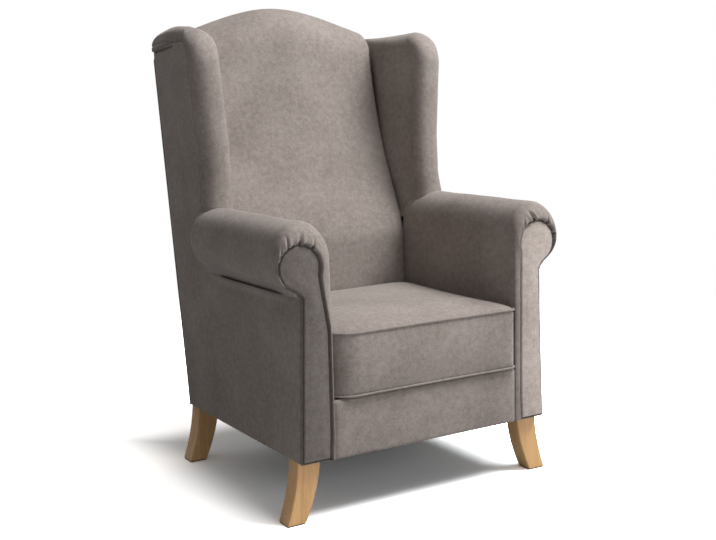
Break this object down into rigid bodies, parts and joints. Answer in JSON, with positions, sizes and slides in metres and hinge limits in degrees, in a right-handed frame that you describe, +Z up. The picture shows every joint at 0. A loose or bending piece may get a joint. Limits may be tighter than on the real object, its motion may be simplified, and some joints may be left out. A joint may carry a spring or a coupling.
{
  "type": "fireside wing chair",
  "caption": "High-backed upholstered fireside chair with wings, rolled arms, a loose box seat cushion edged with piping, and bent light-wood legs.",
  "frame": {"origin": "on the floor, midway between the left and right sides and midway between the front of the cushion and the rear of the crest", "axes": "+X to the right seen from the front, -Y towards the front, +Z up"},
  "size_m": [0.792, 0.8203, 1.216],
  "materials": {
    "pine": "sawn",
    "board": "raw fibreboard",
    "beech_dowel": "raw",
    "spring_steel": "satin",
    "felt": "matte",
    "webbing": "woven",
    "lining": "matte",
    "foam": "open-cell foam",
    "piping": "short pile",
    "zip_tape": "woven",
    "zip_metal": "satin",
    "beech": "clear lacquer",
    "zinc_steel": "satin",
    "glide": "matte",
    "upholstery": "short pile, brushed nap"
  },
  "bodies": {
    "chair": {"seat_front_rail": "pine", "seat_back_rail": "pine", "seat_side_rail_left": "pine", "seat_side_rail_right": "pine", "leg_blocks": "pine", "arm_post_left": "pine", "arm_post_right": "pine", "arm_rail_left": "pine", "arm_rail_right": "pine", "inner_arm_board_left": "board", "inner_arm_board_right": "board", "back_post_left": "pine", "back_post_right": "pine", "crest_rail": "pine", "lumbar_rail": "pine", "wing_board_left": "board", "wing_board_right": "board", "frame_dowels": "beech_dowel", "seat_springs": "spring_steel", "spring_clips": "spring_steel", "spring_felt": "felt", "seat_deck": "lining", "back_webbing": "webbing", "back_pad": "foam", "arm_pad_left": "foam", "arm_pad_right": "foam", "wing_pad_left": "foam", "wing_pad_right": "foam", "inside_back_cover": "upholstery", "outside_back_panel": "upholstery", "side_panel_left": "upholstery", "side_panel_right": "upholstery", "arm_cover_left": "upholstery", "arm_cover_right": "upholstery", "arm_facing_left": "upholstery", "arm_facing_right": "upholstery", "arm_piping_left": "piping", "arm_piping_right": "piping", "wing_cover_left": "upholstery", "wing_cover_right": "upholstery", "front_border": "upholstery", "dust_cover": "lining", "leg_front_left": "beech", "leg_front_right": "beech", "leg_rear_left": "beech", "leg_rear_right": "beech", "leg_bolts": "zinc_steel", "tee_nuts": "zinc_steel", "leg_glides": "glide"},
    "cushion": {"cushion_cover": "upholstery", "cushion_core": "foam", "cushion_piping_top": "piping", "cushion_piping_bottom": "piping", "cushion_zip": "zip_tape"},
    "slider": {"zip_slider": "zip_metal"}
  },
  "joints": [
    {"name": "cushion_lift", "type": "slide", "parent": "chair", "child": "cushion", "axis": [0, 0, 1], "range_m": [0, 0.45]},
    {"name": "zip_slide", "type": "slide", "parent": "cushion", "child": "slider", "axis": [1, 0, 0], "range_m": [0, 0.388]}
  ]
}
